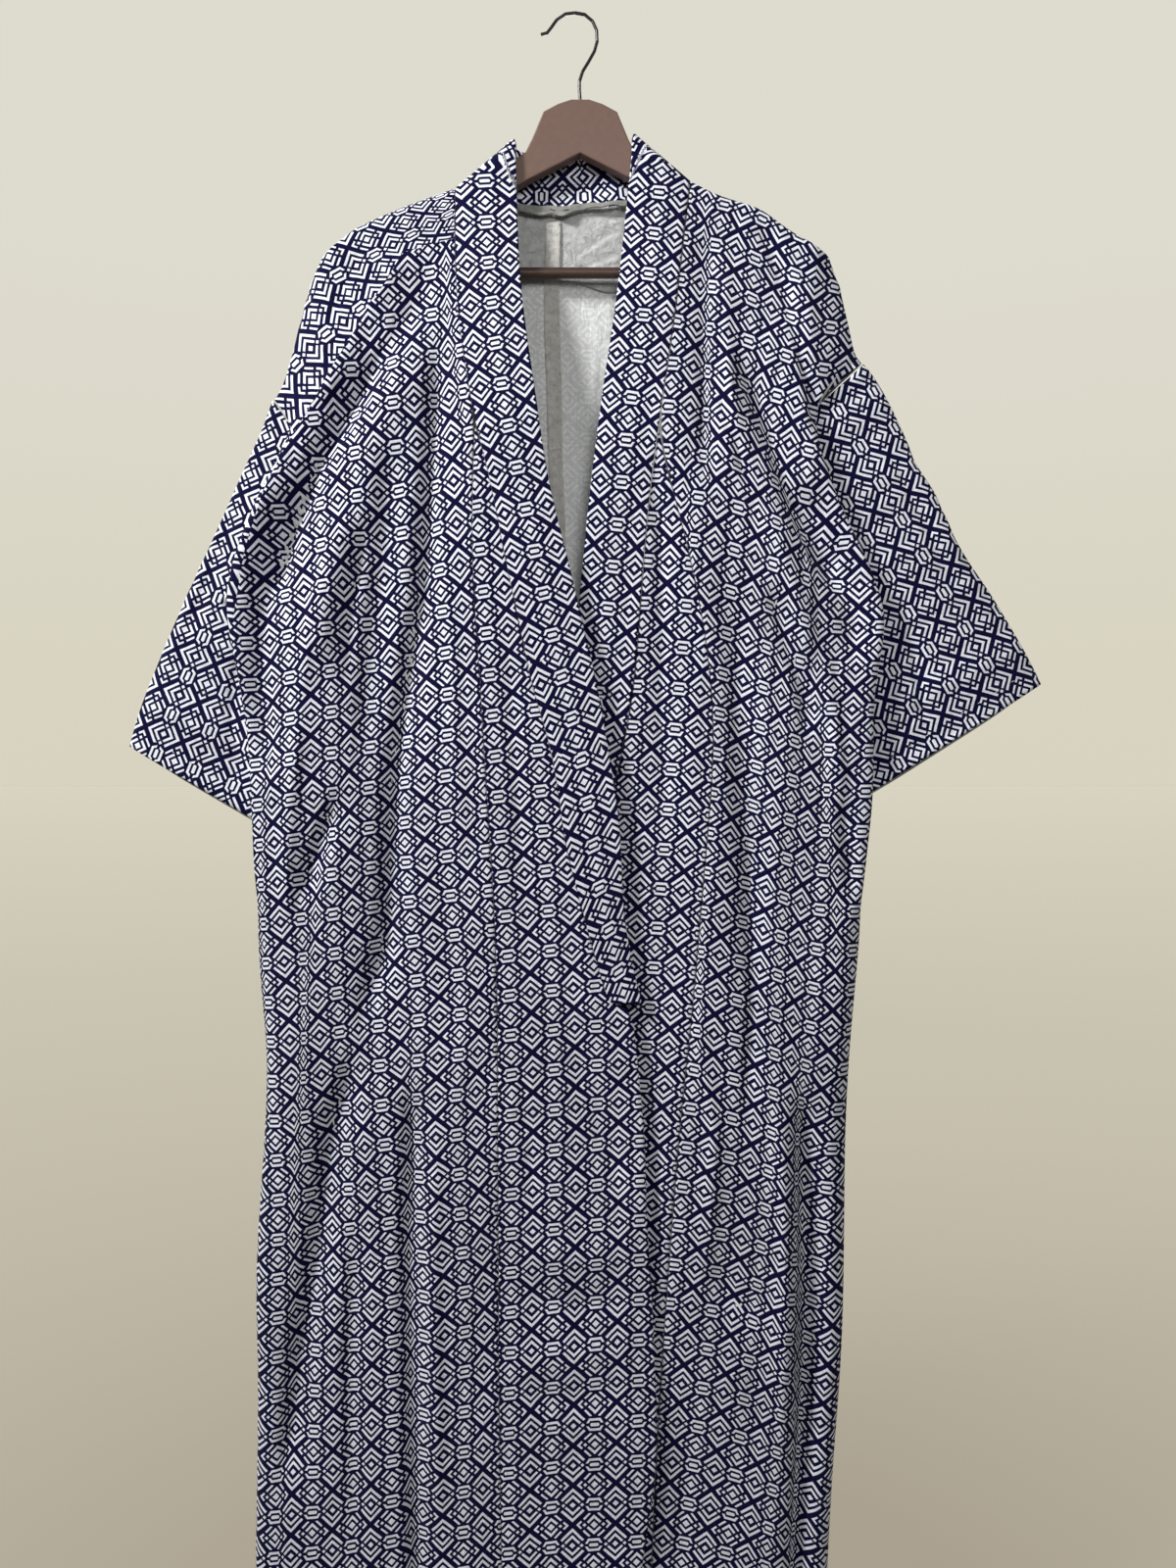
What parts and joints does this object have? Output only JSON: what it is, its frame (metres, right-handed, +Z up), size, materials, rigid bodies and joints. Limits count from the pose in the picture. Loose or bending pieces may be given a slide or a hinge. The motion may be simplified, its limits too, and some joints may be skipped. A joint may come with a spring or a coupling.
{
  "type": "kimono robe on a clothes hanger",
  "caption": "Long cotton kimono robe with a geometric print, open at the neck and lapped in front, hanging on a shaped hanger with a wire hook.",
  "frame": {"origin": "inside top of the hanger's hook, where a peg or rail carries it", "axes": "+X to the viewer's right, +Y from the front of the robe to its back, +Z up"},
  "size_m": [0.8254, 0.0596, 1.508],
  "materials": {
    "printed_cotton": "plain-woven cotton with a navy geometric print on white",
    "white_cotton": "plain white cotton lining",
    "brown_plastic": "moulded satin brown",
    "black_wire": "black lacquered steel wire"
  },
  "bodies": {
    "root": {"body_left": "printed_cotton", "body_right": "printed_cotton", "overlap_left": "printed_cotton", "overlap_right": "printed_cotton", "collar": "printed_cotton", "sleeve_left": "printed_cotton", "sleeve_right": "printed_cotton", "shoulder_lining": "white_cotton", "hanger_body": "brown_plastic", "trouser_bar": "brown_plastic", "hook": "black_wire"}
  },
  "joints": []
}
